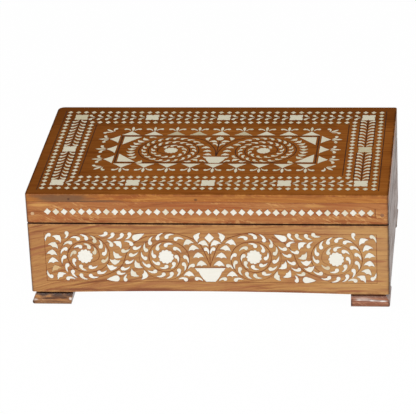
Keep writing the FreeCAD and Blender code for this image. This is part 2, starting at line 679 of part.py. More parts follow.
def top_flower(field):
    """Vase in the middle of the panel with its bud, bells and leaves."""
    field.place("top_vase", vase((0, TOP_VASE_RIM), TOP_VASE))
    bud = [(0, -4.2), (2.6, -3.0), (3.3, 0.6), (2.2, 1.4), (2.0, 3.0), (0.9, 2.6), (0, 4.4), (-0.9, 2.6),
           (-2.0, 3.0), (-2.2, 1.4), (-3.3, 0.6), (-2.6, -3.0)]
    field.place("top_flower", polygon(placed(bud, (0, BUD_LEVEL), 0)))
    leaves = (((1.0, 6.8), (4.0, 12.2)), ((19.2, -18.4), (15.2, -14.9)), ((7.6, -27.6), (11.7, -24.4)),
              ((27.0, -25.0), (22.2, -25.8)), ((55.7, 24.8), (61.0, 26.0)))
    bells = ((4.9, 17.4, 105), (10.7, 23.1, 15), (16.2, 10.4, 80), (10.6, 4.4, 88), (8.6, -3.4, 92),
             (7.4, -10.8, 96), (17.2, -22.4, 125))
    for side in (-1, 1):
        for tail, head in leaves:
            field.place("top_flower", leaf((side * tail[0], tail[1]), (side * head[0], head[1]), SCROLL_HEAD,
                                           LEAF_BOW * side))
        for x, y, crown in bells:
            turned = crown if side > 0 else 180 - crown
            field.place("top_bells", bell((side * x, y), SMALL_BELL, turned))


def lid_top_field():
    field = Field(SIDE, BACK)
    diamond_frame(field, "top_outer_diamonds", SIDE - OUTER_ROW, BACK - OUTER_ROW)
    diamond_frame(field, "top_inner_diamonds", SIDE - INNER_ROW, BACK - INNER_ROW)
    band(field)
    field.offset = PANEL_OFFSET
    panel_x = SIDE - INNER_ROW - TRIANGLE_FIELD
    panel_y = BACK - INNER_ROW - TRIANGLE_FIELD
    for side in (-1, 1):
        off_y, off_x = panel_y + TRIANGLE_OFF_PANEL, panel_x + TRIANGLE_OFF_PANEL
        triangle_row(field, (0, side * off_y), 2 * panel_x, TRIANGLE_PITCH, 90 * side)
        triangle_row(field, (side * off_x, 0), 2 * panel_y, SIDE_TRIANGLE_PITCH, 90 - 90 * side)
        for end in (-1, 1):
            degrees = math.degrees(math.atan2(side, end))
            sprig(field, (end * (panel_x + CORNER_SPRIG[0]), side * (panel_y + CORNER_SPRIG[1])), degrees)
            x, y = end * (panel_x - PANEL_CORNER_INSET), side * (panel_y - PANEL_CORNER_INSET)
            corner = [(x, y), (x - end * PANEL_CORNER[0], y), (x, y - side * PANEL_CORNER[1])]
            field.place("top_panel_corners", polygon(corner))
    top_flower(field)
    for side in (-1, 1):
        top_scroll(field, side)
    return field


def lid_front_field():
    field = Field(SIDE, RAIL_HEIGHT / 2, FRONT_OFFSET)
    half = SIDE - LID_ROW_FROM_END
    count = round(2 * half / LID_DIAMOND_PITCH)
    for k in range(count + 1):
        place = (-half + 2 * half * k / count, LID_ROW_RISE)
        turn = hand.uniform(-LID_DIAMOND_TURN, LID_DIAMOND_TURN)
        field.place("lid_front_diamonds", diamond(place, LID_DIAMOND, LID_DIAMOND, turn))
    return field


def leaf_ring(field, centre, ring, count, first, turning):
    """Comma leaves in a ring round a rosette, heads leading round and inward, the ring closing slightly."""
    first_radius, last_radius, inward, sweep, step = ring
    for k in range(count):
        radius = first_radius + (last_radius - first_radius) * k / (count - 1)
        angle = first + turning * step * k
        tail = polar(centre, radius, angle)
        head = polar(centre, radius - inward, angle + turning * sweep)
        field.place("front_scroll_leaves", leaf(tail, head, LEAF_HEAD, -LEAF_BOW * turning))


def front_spray(field, side, end_x):
    """Leaves that fill one half of the front between the scrolls, each given by its tail, its head and the
    side that it bows to on the left half. Those of the border are measured from the end of the field,
    the others from its middle."""
    from_middle = (
        ((-86.3, 17.7), (-81.5, 21.2), -1), ((-78.8, 17.0), (-73.8, 21.2), -1),
        ((-71.5, 17.0), (-67.3, 21.7), -1), ((-72.3, 15.2), (-66.3, 12.5), 1),
        ((-87.3, 15.7), (-83.3, 11.5), 1), ((-67.9, 8.2), (-73.6, 5.8), 1),
        ((-58.0, 11.7), (-63.5, 8.7), 1), ((-60.8, 5.0), (-67.0, 2.5), 1),
        ((-64.8, -1.5), (-70.5, -4.5), 1), ((-68.3, -8.5), (-74.8, -10.5), 1),
        ((-72.3, -14.0), (-78.4, -14.4), 1), ((-71.3, -15.8), (-72.8, -20.8), -1),
        ((-19.0, -10.5), (-14.9, -7.1), 1), ((-27.8, -20.3), (-21.3, -20.3), 1),
        ((-6.8, -21.8), (-12.2, -19.6), -1), ((-0.9, 3.5), (-3.2, 8.2), -1),
    )
    from_end = (
        ((0.4, 15.0), (4.0, 20.8), 1), ((17.4, 17.2), (19.2, 22.3), -1), ((0.6, -13.0), (3.8, -18.5), -1),
        ((24.6, -21.0), (18.1, -20.3), -1), ((46.4, 20.8), (52.6, 22.2), -1),
    )
    bells = (
        (-76.8, 13.0, 45), (-79.3, 1.2, 235), (-81.3, -4.5, 265), (-84.1, -10.0, 255), (-62.3, -7.5, 220),
        (-65.8, -15.5, 220), (-55.8, -17.0, 345), (-18.3, 15.0, 105), (-13.8, 9.5, 100), (-9.8, 2.5, 95),
        (-7.5, -5.0, 92), (-18.3, -14.8, 88), (-11.0, 19.5, 165), (-4.8, 14.2, 75),
    )
    teardrops = (((-54.8, 21.9), (-62.4, 18.4)), ((-89.0, -20.8), (-80.8, -20.0)))
    for tail, head, bowed in from_middle:
        ends = (-side * tail[0], tail[1]), (-side * head[0], head[1])
        field.place("front_spray_leaves", leaf(*ends, LEAF_HEAD, -side * bowed * LEAF_BOW))
    for tail, head, bowed in from_end:
        ends = (side * (end_x - tail[0]), tail[1]), (side * (end_x - head[0]), head[1])
        field.place("front_spray_leaves", leaf(*ends, LEAF_HEAD, -side * bowed * LEAF_BOW))
    for x, y, crown in bells:
        field.place("front_bells", bell((-side * x, y), BELL, crown if side < 0 else 180 - crown))
    for tip, head in teardrops:
        ends = (-side * tip[0], tip[1]), (-side * head[0], head[1])
        field.place("front_teardrops", teardrop(*ends, TEARDROP_HEAD))


def base_front_field():
    field = Field(SIDE, BASE_HEIGHT / 2 - FIELD_RISE, FRONT_OFFSET)
    end_x = SIDE - FIELD_FROM_END
    field.place("front_vase", vase((0, FRONT_VASE_TOP), FRONT_VASE))
    field.place("front_diamond", diamond((0, FRONT_DIAMOND_LEVEL), *FRONT_DIAMOND))
    halves = zip((-1, 1), OUTER_SCROLL_SAG, OUTER_SCROLL_STARTS, INNER_SCROLL_STARTS)
    for side, sag, outer_starts, inner_starts in halves:
        inner = (side * INNER_SCROLL, ROSETTE_LINE)
        outer = (side * (end_x - OUTER_SCROLL), ROSETTE_LINE - sag)
        for centre in (inner, outer):
            field.place("front_rosettes", rosette(centre, FRONT_ROSETTE))
        opposite = 180.0 if side > 0 else 0.0
        rings = zip((INNER_RING, OUTER_RING), OUTER_SCROLL_LEAVES, outer_starts)
        for ring, count, start in rings:
            leaf_ring(field, outer, ring, count, opposite + side * start, side)
        rings = zip((INNER_RING, OUTER_RING), INNER_SCROLL_LEAVES, inner_starts)
        for ring, count, start in rings:
            leaf_ring(field, inner, ring, count, opposite - side * start, -side)
        for k in range(BORDER_BELLS):
            angle = 180.0 + BORDER_BELL_SPAN * (k / (BORDER_BELLS - 1) - 0.5)
            angle = angle if side < 0 else 180.0 - angle
            at = polar(outer, BORDER_BELL_RADIUS, angle)
            field.place("front_bells", bell(at, BELL, angle + 90.0 * side))
        front_spray(field, side, end_x)
    return field


def main():
    os.makedirs("parts", exist_ok=True)
    on_top = FreeCAD.Placement(V(0, 0, LID_TOP), FreeCAD.Rotation())
    upright = FreeCAD.Rotation(V(1, 0, 0), 90)
    on_rail = FreeCAD.Placement(V(0, FRONT, LID_BOTTOM + RAIL_HEIGHT / 2), upright)
    on_front = FreeCAD.Placement(V(0, FRONT, FOOT_HEIGHT + BASE_HEIGHT / 2 + FIELD_RISE), upright)
    fields = ((lid_top_field(), on_top), (lid_front_field(), on_rail), (base_front_field(), on_front))
    for field, placement in fields:
        for node in field.nodes:
            save(node, field.bone(node, placement))
    top_pockets, rail_pockets, front_pockets = (field.pockets(placement) for field, placement in fields)

    inside_x, inside_y = SIDE - WALL, BACK - WALL
    low = (FOOT_HEIGHT, RIM, 0.0, ARRIS_ROUND)
    front = board(-SIDE, SIDE, FRONT, -inside_y, *low)
    back = board(-SIDE, SIDE, inside_y, BACK, *low)
    left = board(-SIDE, -inside_x, -inside_y, inside_y, *low)
    right = board(inside_x, SIDE, -inside_y, inside_y, *low)
    rabbet = box(-BOTTOM_X - BOTTOM_CLEARANCE, BOTTOM_X + BOTTOM_CLEARANCE, -BOTTOM_Y - BOTTOM_CLEARANCE,
                 BOTTOM_Y + BOTTOM_CLEARANCE, 0, FOOT_HEIGHT + BOTTOM_THICKNESS)
    joinery = dowels(PEG_FIT, DOWEL_ROOM) + bottom_pins(PEG_FIT)
    front, back, left, right = (wall.cut([rabbet] + joinery) for wall in (front, back, left, right))
    save("base_front", [front.cut(front_hollow()).cut(front_pockets)])
    save("base_back", [back.cut(hinge_room(-1))])
    save("base_left", [left])
    save("base_right", [right])
    bottom = box(-BOTTOM_X, BOTTOM_X, -BOTTOM_Y, BOTTOM_Y, FOOT_HEIGHT, FOOT_HEIGHT + BOTTOM_THICKNESS)
    save("base_bottom", [bottom.cut(bottom_pins(PEG_FIT))])
    save("base_dowels", dowels(0.0, 0.0))
    save("bottom_pins", bottom_pins(0.0))
    for name_x, side_x in (("left", -1), ("right", 1)):
        for name_y, side_y in (("front", -1), ("back", 1)):
            save("foot_" + name_y + "_" + name_x, [foot(side_x, side_y)])

    high = (LID_BOTTOM, SEAM, ARRIS_ROUND, SEAM_ROUND)
    lid_front = board(-SIDE, SIDE, FRONT, -inside_y, *high)
    lid_back = board(-SIDE, SIDE, inside_y, BACK, *high, WORN_ROUND)
    lid_left = board(-SIDE, -inside_x, -inside_y, inside_y, *high)
    lid_right = board(inside_x, SIDE, -inside_y, inside_y, *high)
    lid_front, lid_back, lid_left, lid_right = (
        rail.cut(pegs(PEG_FIT)) for rail in (lid_front, lid_back, lid_left, lid_right))
    save("lid_front_rail", [lid_front.cut(rail_pockets)])
    save("lid_back_rail", [lid_back.cut(hinge_room(1))])
    save("lid_left_rail", [lid_left])
    save("lid_right_rail", [lid_right])
    save("lid_pegs", pegs(0.0))
    top = board(-SIDE, SIDE, FRONT, BACK, SEAM, LID_TOP, SEAM_ROUND, ARRIS_ROUND, WORN_ROUND)
    save("lid_top_board", [top.cut(top_pockets)])

    for name, hinge_x in (("left", -HINGE_FROM_MIDDLE), ("right", HINGE_FROM_MIDDLE)):
        save("hinge_" + name + "_base_leaf", [hinge_leaf(hinge_x, -1)])
        save("hinge_" + name + "_lid_leaf", [hinge_leaf(hinge_x, 1)])
        pin_start = (hinge_x - HINGE_LENGTH / 2, AXIS_Y, AXIS_Z)
        save("hinge_" + name + "_pin", [rod(pin_start, (1, 0, 0), HINGE_LENGTH, HINGE_PIN_RADIUS)])
    save("hinge_base_screws", hinge_screws(-1))
    save("hinge_lid_screws", hinge_screws(1))


main()
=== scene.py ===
import math
import bpy
import numpy as np
from mathutils import Matrix, Vector


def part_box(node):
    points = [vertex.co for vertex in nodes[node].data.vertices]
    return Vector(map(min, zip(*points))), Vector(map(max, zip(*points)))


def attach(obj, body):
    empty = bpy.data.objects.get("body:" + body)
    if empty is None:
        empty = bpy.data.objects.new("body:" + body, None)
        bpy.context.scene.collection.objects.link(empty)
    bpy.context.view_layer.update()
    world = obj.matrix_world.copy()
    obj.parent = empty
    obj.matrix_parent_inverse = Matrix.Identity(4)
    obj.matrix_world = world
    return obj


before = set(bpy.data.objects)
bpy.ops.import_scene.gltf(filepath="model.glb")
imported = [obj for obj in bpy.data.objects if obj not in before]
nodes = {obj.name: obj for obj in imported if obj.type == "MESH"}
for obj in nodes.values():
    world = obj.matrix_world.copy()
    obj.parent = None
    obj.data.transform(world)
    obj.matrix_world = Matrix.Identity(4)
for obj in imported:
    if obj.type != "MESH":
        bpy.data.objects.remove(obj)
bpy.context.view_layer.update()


# Boards of the base. Four walls of a brown hardwood stand round a loose bottom board and are dowelled at
# the corners. The front board has a slanting, reddish grain and was rubbed smooth and waxed after the
# inlay was cut in; the sides and the back are darker and polished, and the inside was left plain.

class Term:
    """A socket in the recipe of a finish. Sums and products of terms turn into Math nodes."""

    def __init__(self, socket):
        self.socket = socket

    def node(self, kind, settings=(), sockets=(), out=0):
        """Adds a node to the recipe: first its settings, then the values or links of its sockets."""
        tree = self.socket.id_data
        made = tree.nodes.new(kind)
        for name, value in dict(settings).items():
            if name == "stops":
                for place, tint in value[1:-1]:
                    made.color_ramp.elements.new(place)
                for stop, (place, tint) in zip(made.color_ramp.elements, value):
                    stop.position = place
                    stop.color = tint
            else:
                setattr(made, name, value)
        for name, value in dict(sockets).items():
            if isinstance(value, Term):
                tree.links.new(value.socket, made.inputs[name])
            else:
                made.inputs[name].default_value = value
        return Term(made.outputs[out])

    def math(self, operation, first, second=0.0):
        return self.node("ShaderNodeMath", {"operation": operation}, {0: first, 1: second})

    def __add__(self, other):
        return self.math("ADD", self, other)

    def __radd__(self, other):
        return self.math("ADD", other, self)

    def __sub__(self, other):
        return self.math("SUBTRACT", self, other)

    def __rsub__(self, other):
        return self.math("SUBTRACT", other, self)

    def __mul__(self, other):
        return self.math("MULTIPLY", self, other)

    def __rmul__(self, other):
        return self.math("MULTIPLY", other, self)

    def __pow__(self, other):
        return self.math("POWER", self, other)

    def least(self, other):
        return self.math("MINIMUM", self, other)

    def most(self, other):
        return self.math("MAXIMUM", self, other)

    def vector(self, operation, other=(0, 0, 0), out=0):
        return self.node("ShaderNodeVectorMath", {"operation": operation}, {0: self, 1: other}, out)

    def axes(self):
        """The three coordinates of a place."""
        return [self.node("ShaderNodeSeparateXYZ", (), {0: self}, k) for k in range(3)]

    def noise(self, factors, detail=2.0, rough=0.5):
        """Cloudy value round a half, with so many clouds to the metre along each axis."""
        stretched = self.vector("MULTIPLY", factors)
        sockets = {"Vector": stretched, "Scale": 1.0, "Detail": detail, "Roughness": rough}
        return self.node("ShaderNodeTexNoise", (), sockets)

    def ramp(self, low, high):
        """Rises smoothly from 0 to 1 as the term goes from low to high."""
        settings = {"interpolation_type": "SMOOTHSTEP"}
        sockets = {"Value": self, "From Min": low, "From Max": high, "To Min": 0.0, "To Max": 1.0}
        return self.node("ShaderNodeMapRange", settings, sockets)

    def shades(self, stops):
        """Colour that runs through the stops as the term goes from 0 to 1."""
        return self.node("ShaderNodeValToRGB", {"stops": stops}, {"Fac": self})

    def mix(self, first, second):
        """Colour that goes from the first to the second as the term goes from 0 to 1."""
        return self.node("ShaderNodeMix", {"data_type": "RGBA"}, {0: self, 6: first, 7: second}, 2)

    def feed(self, socket):
        self.socket.id_data.links.new(self.socket, socket)


def colour(red, green, blue):
    """Colour as seen on a screen, 0 to 255, turned into light."""
    light = []
    for part in (red, green, blue):
        share = part / 255
        light.append(share / 12.92 if share <= 0.04045 else ((share + 0.055) / 1.055) ** 2.4)
    return (*light, 1.0)


def finish(name, roughness, specular=0.5, coat=0.0, coat_roughness=0.2):
    """New material: returns it with its shader and the place on the object as a term."""
    material = bpy.data.materials.new(name)
    material.use_nodes = True
    shader = material.node_tree.nodes["Principled BSDF"]
    shader.inputs["Roughness"].default_value = roughness
    shader.inputs["Specular IOR Level"].default_value = specular
    shader.inputs["Coat Weight"].default_value = coat
    shader.inputs["Coat Roughness"].default_value = coat_roughness
    place = Term(material.node_tree.nodes.new("ShaderNodeTexCoord").outputs["Object"])
    return material, shader, place


def insets(place, body):
    """Distances from a place on a box to its end, front or back, and upper or lower faces."""
    low, high = Vector(body[0]), Vector(body[1])
    off = place.vector("SUBTRACT", tuple((low + high) / 2)).vector("ABSOLUTE")
    return off.vector("MULTIPLY", (-1, -1, -1)).vector("ADD", tuple((high - low) / 2)).axes()


def spot(place, middle, size):
    """1 in the middle of an oval patch of a board and 0 outside it, with a ragged edge."""
    offset = place.vector("SUBTRACT", middle)
    far = offset.vector("MULTIPLY", tuple(1 / s for s in size)).vector("LENGTH", out=1)
    return 1 - (far + 0.9 * (place.noise((90, 300, 500), 3.0) - 0.5)).ramp(0.35, 1.0)


# Near-black brown for the painted shade on the edges round the end faces of boards.
painted_edge_shade = colour(48, 30, 20)


def wood(name, tones, lie, body, gloss, rings, wander=0.008, streaks=0.3, fibres=0.4, clouds=0.4,
         flush=(0.0, None), curl=0.0, marks=(), dull=0.0):
    """Sawn board. Tones go from dark to light. Lie gives the heart of the figure, the angles by which the
    grain is turned from the X axis and the arching of its lines. Body is the box whose edges are worn,
    and round whose end faces painted shade darkens the edges. Gloss is roughness, specular level and
    coat, rings their spacing and how strongly they show, and wander how far they stray from straight
    lines. Flush is how strongly bands of a second colour run along the grain, curl how strongly pale
    flecks lie across it, and dull how much less the dark streaks shine. Marks are patches of another
    tint, each with its middle, size, tint and strength."""
    heart, turn, arching = lie
    material, shader, place = finish(name, *gloss)
    turned = {"Location": heart, "Rotation": tuple(math.radians(a) for a in turn), "Vector": place}
    x, y, z = place.node("ShaderNodeMapping", {"vector_type": "TEXTURE"}, turned).axes()
    level = z + arching * x * x
    straight = x.node("ShaderNodeCombineXYZ", (), {0: x, 1: y, 2: level})
    stray = straight.noise((5, 12, 16), 2.0) + 0.35 * straight.noise((26, 40, 60), 2.0) - 0.67
    level = level + 2 * wander * stray + 0.4 * y
    bent = x.node("ShaderNodeCombineXYZ", (), {0: x, 1: y, 2: level})
    phase = level * (1 / rings[0])
    number = phase.math("FLOOR", phase)
    within = phase - number
    uneven = number.node("ShaderNodeTexWhiteNoise", {"noise_dimensions": "1D"}, {"W": number})
    fade = straight.noise((11, 30, 40), 2.0).ramp(0.34, 0.6)
    late = within ** 4 * uneven * fade
    early = (1 - within) ** 7 * (1 - uneven) * fade
    streak = bent.noise((20, 60, 380), 3.0, 0.62).ramp(0.48, 0.72)
    fibre = bent.noise((48, 400, 520), 4.0, 0.7)
    cloud = straight.noise((8, 16, 26), 2.0)
    tone = 0.62 + clouds * (cloud - 0.5) + fibres * (fibre - 0.5) - streaks * streak
    tone = tone - rings[1] * late + 0.5 * rings[1] * early
    shade = tone.shades([(0.0, tones[0]), (0.35, tones[1]), (0.68, tones[2]), (1.0, tones[3])])
    if flush[0] > 0:
        band = bent.noise((16, 40, 360), 4.0, 0.65).ramp(0.44, 0.66)
        shade = (flush[0] * band).mix(shade, flush[1])
    if curl > 0:
        leaning = {"Rotation": (0, math.radians(24), 0), "Vector": place}
        slant = place.node("ShaderNodeMapping", {"vector_type": "TEXTURE"}, leaning)
        fleck = slant.noise((230, 300, 900), 2.0).ramp(0.52, 0.68)
        patch = straight.noise((18, 20, 70), 2.0).ramp(0.44, 0.62)
        shade = (curl * fleck * patch).mix(shade, tones[3])
    for middle, size, tint, strength in marks:
        shade = (strength * spot(place, middle, size)).mix(shade, tint)
    pore = bent.noise((260, 3000, 3000), 1.0).ramp(0.64, 0.74)
    shade = (0.5 * pore).mix(shade, tones[0])
    end, face, bed = insets(place, body)
    edge = end.most(face).least(end.most(bed)).least(face.most(bed))
    rub = place.noise((130, 130, 130), 4.0, 0.7)
    nick = (1 - edge.ramp(0.0003, 0.0019)) * rub.ramp(0.5, 0.66)
    grime = (1 - edge.ramp(0.0002, 0.0042)) * (1 - rub.ramp(0.36, 0.6))
    # Painted shade: the edges round the end faces of the box are darkened towards a near-black brown.
    corner = 1 - end.most(face).least(end.most(bed)).ramp(0.0004, 0.0022)
    shade = (0.4 * grime).mix(shade, tones[0])
    shade = (0.65 * corner).mix(shade, painted_edge_shade)
    shade = (0.45 * nick).mix(shade, tones[3])
    shade.feed(shader.inputs["Base Color"])
    sheen = gloss[0] + 0.2 * (fibre - 0.5) + 0.14 * pore + 0.15 * nick
    if dull > 0:
        sheen = sheen + dull * streak
    sheen.feed(shader.inputs["Roughness"])
    relief = fibre * 0.6 - pore - 0.5 * late
    bump = relief.node("ShaderNodeBump", (), {"Strength": 0.25, "Distance": 0.00006, "Height": relief})
    bump.feed(shader.inputs["Normal"])
    return material


def dress(node, *materials):
    """Puts finishes on a board or fitting of the frame in place of its plain one."""
    mesh = nodes[node].data
    mesh.materials.clear()
    for material in materials:
        mesh.materials.append(material)
    return mesh


def facing(mesh):
    """Directions of the faces of a mesh."""
    normals = np.empty(3 * len(mesh.polygons), np.float32)
    mesh.polygons.foreach_get("normal", normals)
    return normals.reshape(-1, 3)


def dress_wall(node, inward, outside, inside, rim, ends):
    """Finishes a wall or rail: outside, inside where it faces into the box, its upper and lower edges, and
    its ends, which show at the sides of the box."""
    mesh = dress(node, outside, inside, rim, ends)
    normals = facing(mesh)
    slot = np.where(np.abs(normals[:, 0]) > 0.8, 3, 0)
    slot = np.where(normals @ np.array(inward) > 0.6, 1, slot)
    slot = np.where(np.abs(normals[:, 2]) > 0.8, 2, slot)
    mesh.polygons.foreach_set("material_index", slot.astype(np.int32))


base_box = (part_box("base_front")[0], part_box("base_back")[1])
front_y = base_box[0][1]
foot_z = base_box[0][2]
front_tones = (colour(112, 58, 32), colour(160, 102, 56), colour(190, 138, 80), colour(212, 164, 102))
ruddy = colour(158, 94, 62)
rusty = colour(126, 66, 42)
honey = colour(194, 150, 94)
straw = colour(212, 172, 114)
front_marks = [((-0.045, front_y, foot_z + 0.0015), (0.06, 0.02, 0.0040), rusty, 0.85),
               ((-0.112, front_y, foot_z + 0.0025), (0.03, 0.02, 0.0022), rusty, 0.75),
               ((0.06, front_y, foot_z + 0.0010), (0.07, 0.02, 0.0035), rusty, 0.65),
               ((-0.06, front_y, foot_z + 0.061), (0.05, 0.02, 0.0020), rusty, 0.5),
               ((0.130, front_y, foot_z + 0.034), (0.06, 0.03, 0.06), straw, 0.3),
               ((-0.01, front_y, foot_z + 0.033), (0.14, 0.03, 0.030), honey, 0.3),
               ((0.138, front_y, foot_z + 0.0125), (0.016, 0.02, 0.0014), ruddy, 0.7),
               ((0.120, front_y, foot_z + 0.0030), (0.020, 0.02, 0.0014), ruddy, 0.7),
               ((0.143, front_y, foot_z + 0.031), (0.010, 0.02, 0.0016), ruddy, 0.7),
               ((0.140, front_y, foot_z + 0.052), (0.013, 0.02, 0.0014), ruddy, 0.7)]
front_lie = ((0.12, front_y, foot_z + 0.019), (0, 0, 0), 0.46)
front_wood = wood("front_wood", front_tones, front_lie, base_box, (0.42, 0.28), (0.0046, 0.4), 0.006, 0.45,
                  0.55, flush=(0.55, ruddy), marks=front_marks)
side_tones = (colour(58, 33, 20), colour(95, 60, 36), colour(122, 82, 50), colour(146, 107, 70))
side_lie = ((0.1, 0.03, 0.03), (0, 3, 90), 0.5)
side_gloss, side_rings = (0.34, 0.4), (0.006, 0.5)
side_wood = wood("side_wood", side_tones, side_lie, base_box, side_gloss, side_rings, streaks=0.5, dull=0.5)
back_lie = ((-0.04, 0.095, 0.03), (0, -2, 0), 0.4)
back_gloss, back_rings = (0.42, 0.25), (0.0066, 0.5)
back_wood = wood("back_wood", side_tones, back_lie, base_box, back_gloss, back_rings, streaks=0.5)
inside_tones = (colour(112, 70, 40), colour(150, 102, 62), colour(178, 130, 84), colour(204, 158, 110))
inside_lie = ((0.02, 0, 0.01), (0, 1, 0), 0.1)
inside_gloss, inside_rings = (0.62, 0.3), (0.005, 0.35)
inside_wood = wood("inside_wood", inside_tones, inside_lie, base_box, inside_gloss, inside_rings, 0.004)
# The upper and lower edges of walls and rails are painted dark: painted shade for the gap between lid and
# base, where these edges show.
rim_shade_tones = (colour(48, 26, 14), colour(72, 42, 24), colour(92, 56, 34), colour(114, 74, 48))
rim_shade_wood = wood("rim_shade_wood", rim_shade_tones, inside_lie, base_box, (0.66, 0.2), (0.006, 0.4))
dress_wall("base_front", (0, 1, 0), front_wood, inside_wood, rim_shade_wood, side_wood)
dress_wall("base_back", (0, -1, 0), back_wood, inside_wood, rim_shade_wood, side_wood)
dress_wall("base_left", (1, 0, 0), side_wood, inside_wood, rim_shade_wood, side_wood)
dress_wall("base_right", (-1, 0, 0), side_wood, inside_wood, rim_shade_wood, side_wood)
dress("base_bottom", inside_wood)
dress("base_dowels", inside_wood)


# Feet. Four blocks of a redder wood, moulded on the two outer faces and rounded at the lower edge, glued
# under the corners. They were varnished, and the left front one is mottled like tortoiseshell. Both front
# ones carry a painted shadow of the box across their tops, and painted highlights: along the swell of the
# right one and at the ends of the left one.
red_foot = (colour(60, 30, 18), colour(106, 60, 40), colour(144, 89, 63), colour(186, 134, 104))
brown_foot = (colour(54, 30, 17), colour(103, 63, 37), colour(146, 99, 60), colour(190, 144, 100))
foot_tones = {"foot_front_left": brown_foot, "foot_back_right": brown_foot}
# Near-white for painted highlights, and a dark brown for both the tortoiseshell mottling and the painted
# shadow of the box.
painted_highlight, tortoiseshell_and_painted_shadow, amber = colour(240, 232, 226), colour(64, 36, 22), colour(186, 128, 66)
# Left front foot: first a dark band across the top, partly mottling and partly painted shadow of the box;
# then mottling and amber patches; last two painted highlights at its ends.
left_foot_patches_and_painted_light = (
    (0.0000, 0.0113, 0.026, 0.0036, tortoiseshell_and_painted_shadow, 0.9), (-0.0080, 0.0088, 0.007, 0.0020, tortoiseshell_and_painted_shadow, 0.9),
    (0.0040, 0.0082, 0.009, 0.0020, tortoiseshell_and_painted_shadow, 0.85), (0.0140, 0.0088, 0.006, 0.0022, tortoiseshell_and_painted_shadow, 0.9),
    (-0.0030, 0.0060, 0.010, 0.0011, tortoiseshell_and_painted_shadow, 0.75), (0.0090, 0.0064, 0.005, 0.0012, tortoiseshell_and_painted_shadow, 0.8),
    (0.0030, 0.0036, 0.012, 0.0008, tortoiseshell_and_painted_shadow, 0.4), (-0.0130, 0.0074, 0.004, 0.0014, amber, 0.7),
    (-0.0040, 0.0075, 0.003, 0.0008, amber, 0.6), (0.0060, 0.0046, 0.008, 0.0008, amber, 0.5),
    (-0.0165, 0.0050, 0.004, 0.0013, painted_highlight, 0.45), (0.0150, 0.0056, 0.0018, 0.0016, painted_highlight, 0.8))
# Right front foot: a painted shadow of the box across the top, then painted highlights along the swell.
right_foot_painted_light = (
    (0.0000, 0.0122, 0.022, 0.0018, tortoiseshell_and_painted_shadow, 0.6), (-0.0060, 0.0078, 0.010, 0.0010, painted_highlight, 0.25),
    (-0.0040, 0.0066, 0.013, 0.0010, painted_highlight, 0.35), (0.0080, 0.0060, 0.009, 0.0010, painted_highlight, 0.35),
    (-0.0100, 0.0066, 0.0024, 0.0006, painted_highlight, 0.5), (0.0010, 0.0062, 0.0022, 0.0006, painted_highlight, 0.6),
    (0.0105, 0.0058, 0.0036, 0.0009, painted_highlight, 0.8))
foot_patches = {"foot_front_left": left_foot_patches_and_painted_light, "foot_front_right": right_foot_painted_light}
moulding = 0.003
for foot in ("foot_front_left", "foot_front_right", "foot_back_left", "foot_back_right"):
    foot_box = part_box(foot)
    heart = tuple((a + b) / 2 for a, b in zip(*foot_box))
    foot_marks = [((heart[0] + x, foot_box[0][1] + moulding, z), (half, 0.02, high), tint, strength)
                  for x, z, half, high, tint, strength in foot_patches.get(foot, ())]
    foot_wood = wood(foot + "_wood", foot_tones.get(foot, red_foot), (heart, (0, 3, 3), 2.0), foot_box,
                     (0.36, 0.25, 0.12, 0.12), (0.0035, 0.5), 0.004, 0.6, 0.9,
                     flush=(0.35, colour(128, 68, 44)), curl=0.5, marks=foot_marks)
    dress(foot, foot_wood)


# Lid frame. Four rails pegged at the corners; the front rail has an orange, curling grain. A wooden peg
# shows near each end of the front and back rails, the left front one much paler than the right one.
lid_box = (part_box("lid_front_rail")[0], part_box("lid_top_board")[1])
rail_z = lid_box[0][2]
lid_tones = (colour(116, 55, 23), colour(158, 93, 45), colour(184, 122, 68), colour(212, 159, 98))
rail_lie = ((0.03, front_y, rail_z + 0.004), (0, 1, 0), 0.25)
flame = colour(160, 84, 38)
gilt = colour(214, 158, 88)
rail_marks = [((-0.008, front_y, rail_z + 0.0166), (0.045, 0.02, 0.0018), flame, 0.7),
              ((0.012, front_y, rail_z + 0.0146), (0.03, 0.02, 0.0012), flame, 0.6),
              ((0.092, front_y, rail_z + 0.0166), (0.014, 0.02, 0.0022), gilt, 0.5),
              ((-0.140, front_y, rail_z + 0.0165), (0.014, 0.02, 0.0022), gilt, 0.7),
              ((-0.120, front_y, rail_z + 0.0060), (0.020, 0.02, 0.0040), flame, 0.5),
              ((0.0, front_y, rail_z + 0.0036), (0.02, 0.02, 0.003), gilt, 0.35),
              ((-0.085, front_y, rail_z + 0.0193), (0.09, 0.02, 0.0006), flame, 0.6)]
lid_wood = wood("lid_wood", lid_tones, rail_lie, lid_box, (0.4, 0.28), (0.0026, 0.6), 0.012, 0.35, 0.45, 0.6,
                flush=(0.5, flame), curl=0.85, marks=rail_marks)
lid_side = wood("lid_side_wood", side_tones, side_lie, lid_box, side_gloss, side_rings, streaks=0.5,
                dull=0.5)
lid_back = wood("lid_back_wood", side_tones, back_lie, lid_box, back_gloss, back_rings, streaks=0.5)
lid_inside = wood("lid_inside_wood", inside_tones, inside_lie, lid_box, inside_gloss, inside_rings, 0.004)
dress_wall("lid_front_rail", (0, 1, 0), lid_wood, lid_inside, rim_shade_wood, lid_side)
dress_wall("lid_back_rail", (0, -1, 0), lid_back, lid_inside, rim_shade_wood, lid_side)
dress_wall("lid_left_rail", (1, 0, 0), lid_side, lid_inside, rim_shade_wood, lid_side)
dress_wall("lid_right_rail", (-1, 0, 0), lid_side, lid_inside, rim_shade_wood, lid_side)
peg_tones = (colour(120, 84, 58), colour(176, 134, 98), colour(214, 176, 134), colour(232, 202, 164))
peg_z = rail_z + 0.0084
peg_marks = [((0.147, front_y, peg_z), (0.004, 0.03, 0.004), colour(140, 92, 62), 0.9)]
peg_wood = wood("peg_wood", peg_tones, ((0, 0, peg_z), (0, 0, 90), 0.0), lid_box, (0.5, 0.3), (0.002, 0.2),
                marks=peg_marks)
dress("lid_pegs", peg_wood)
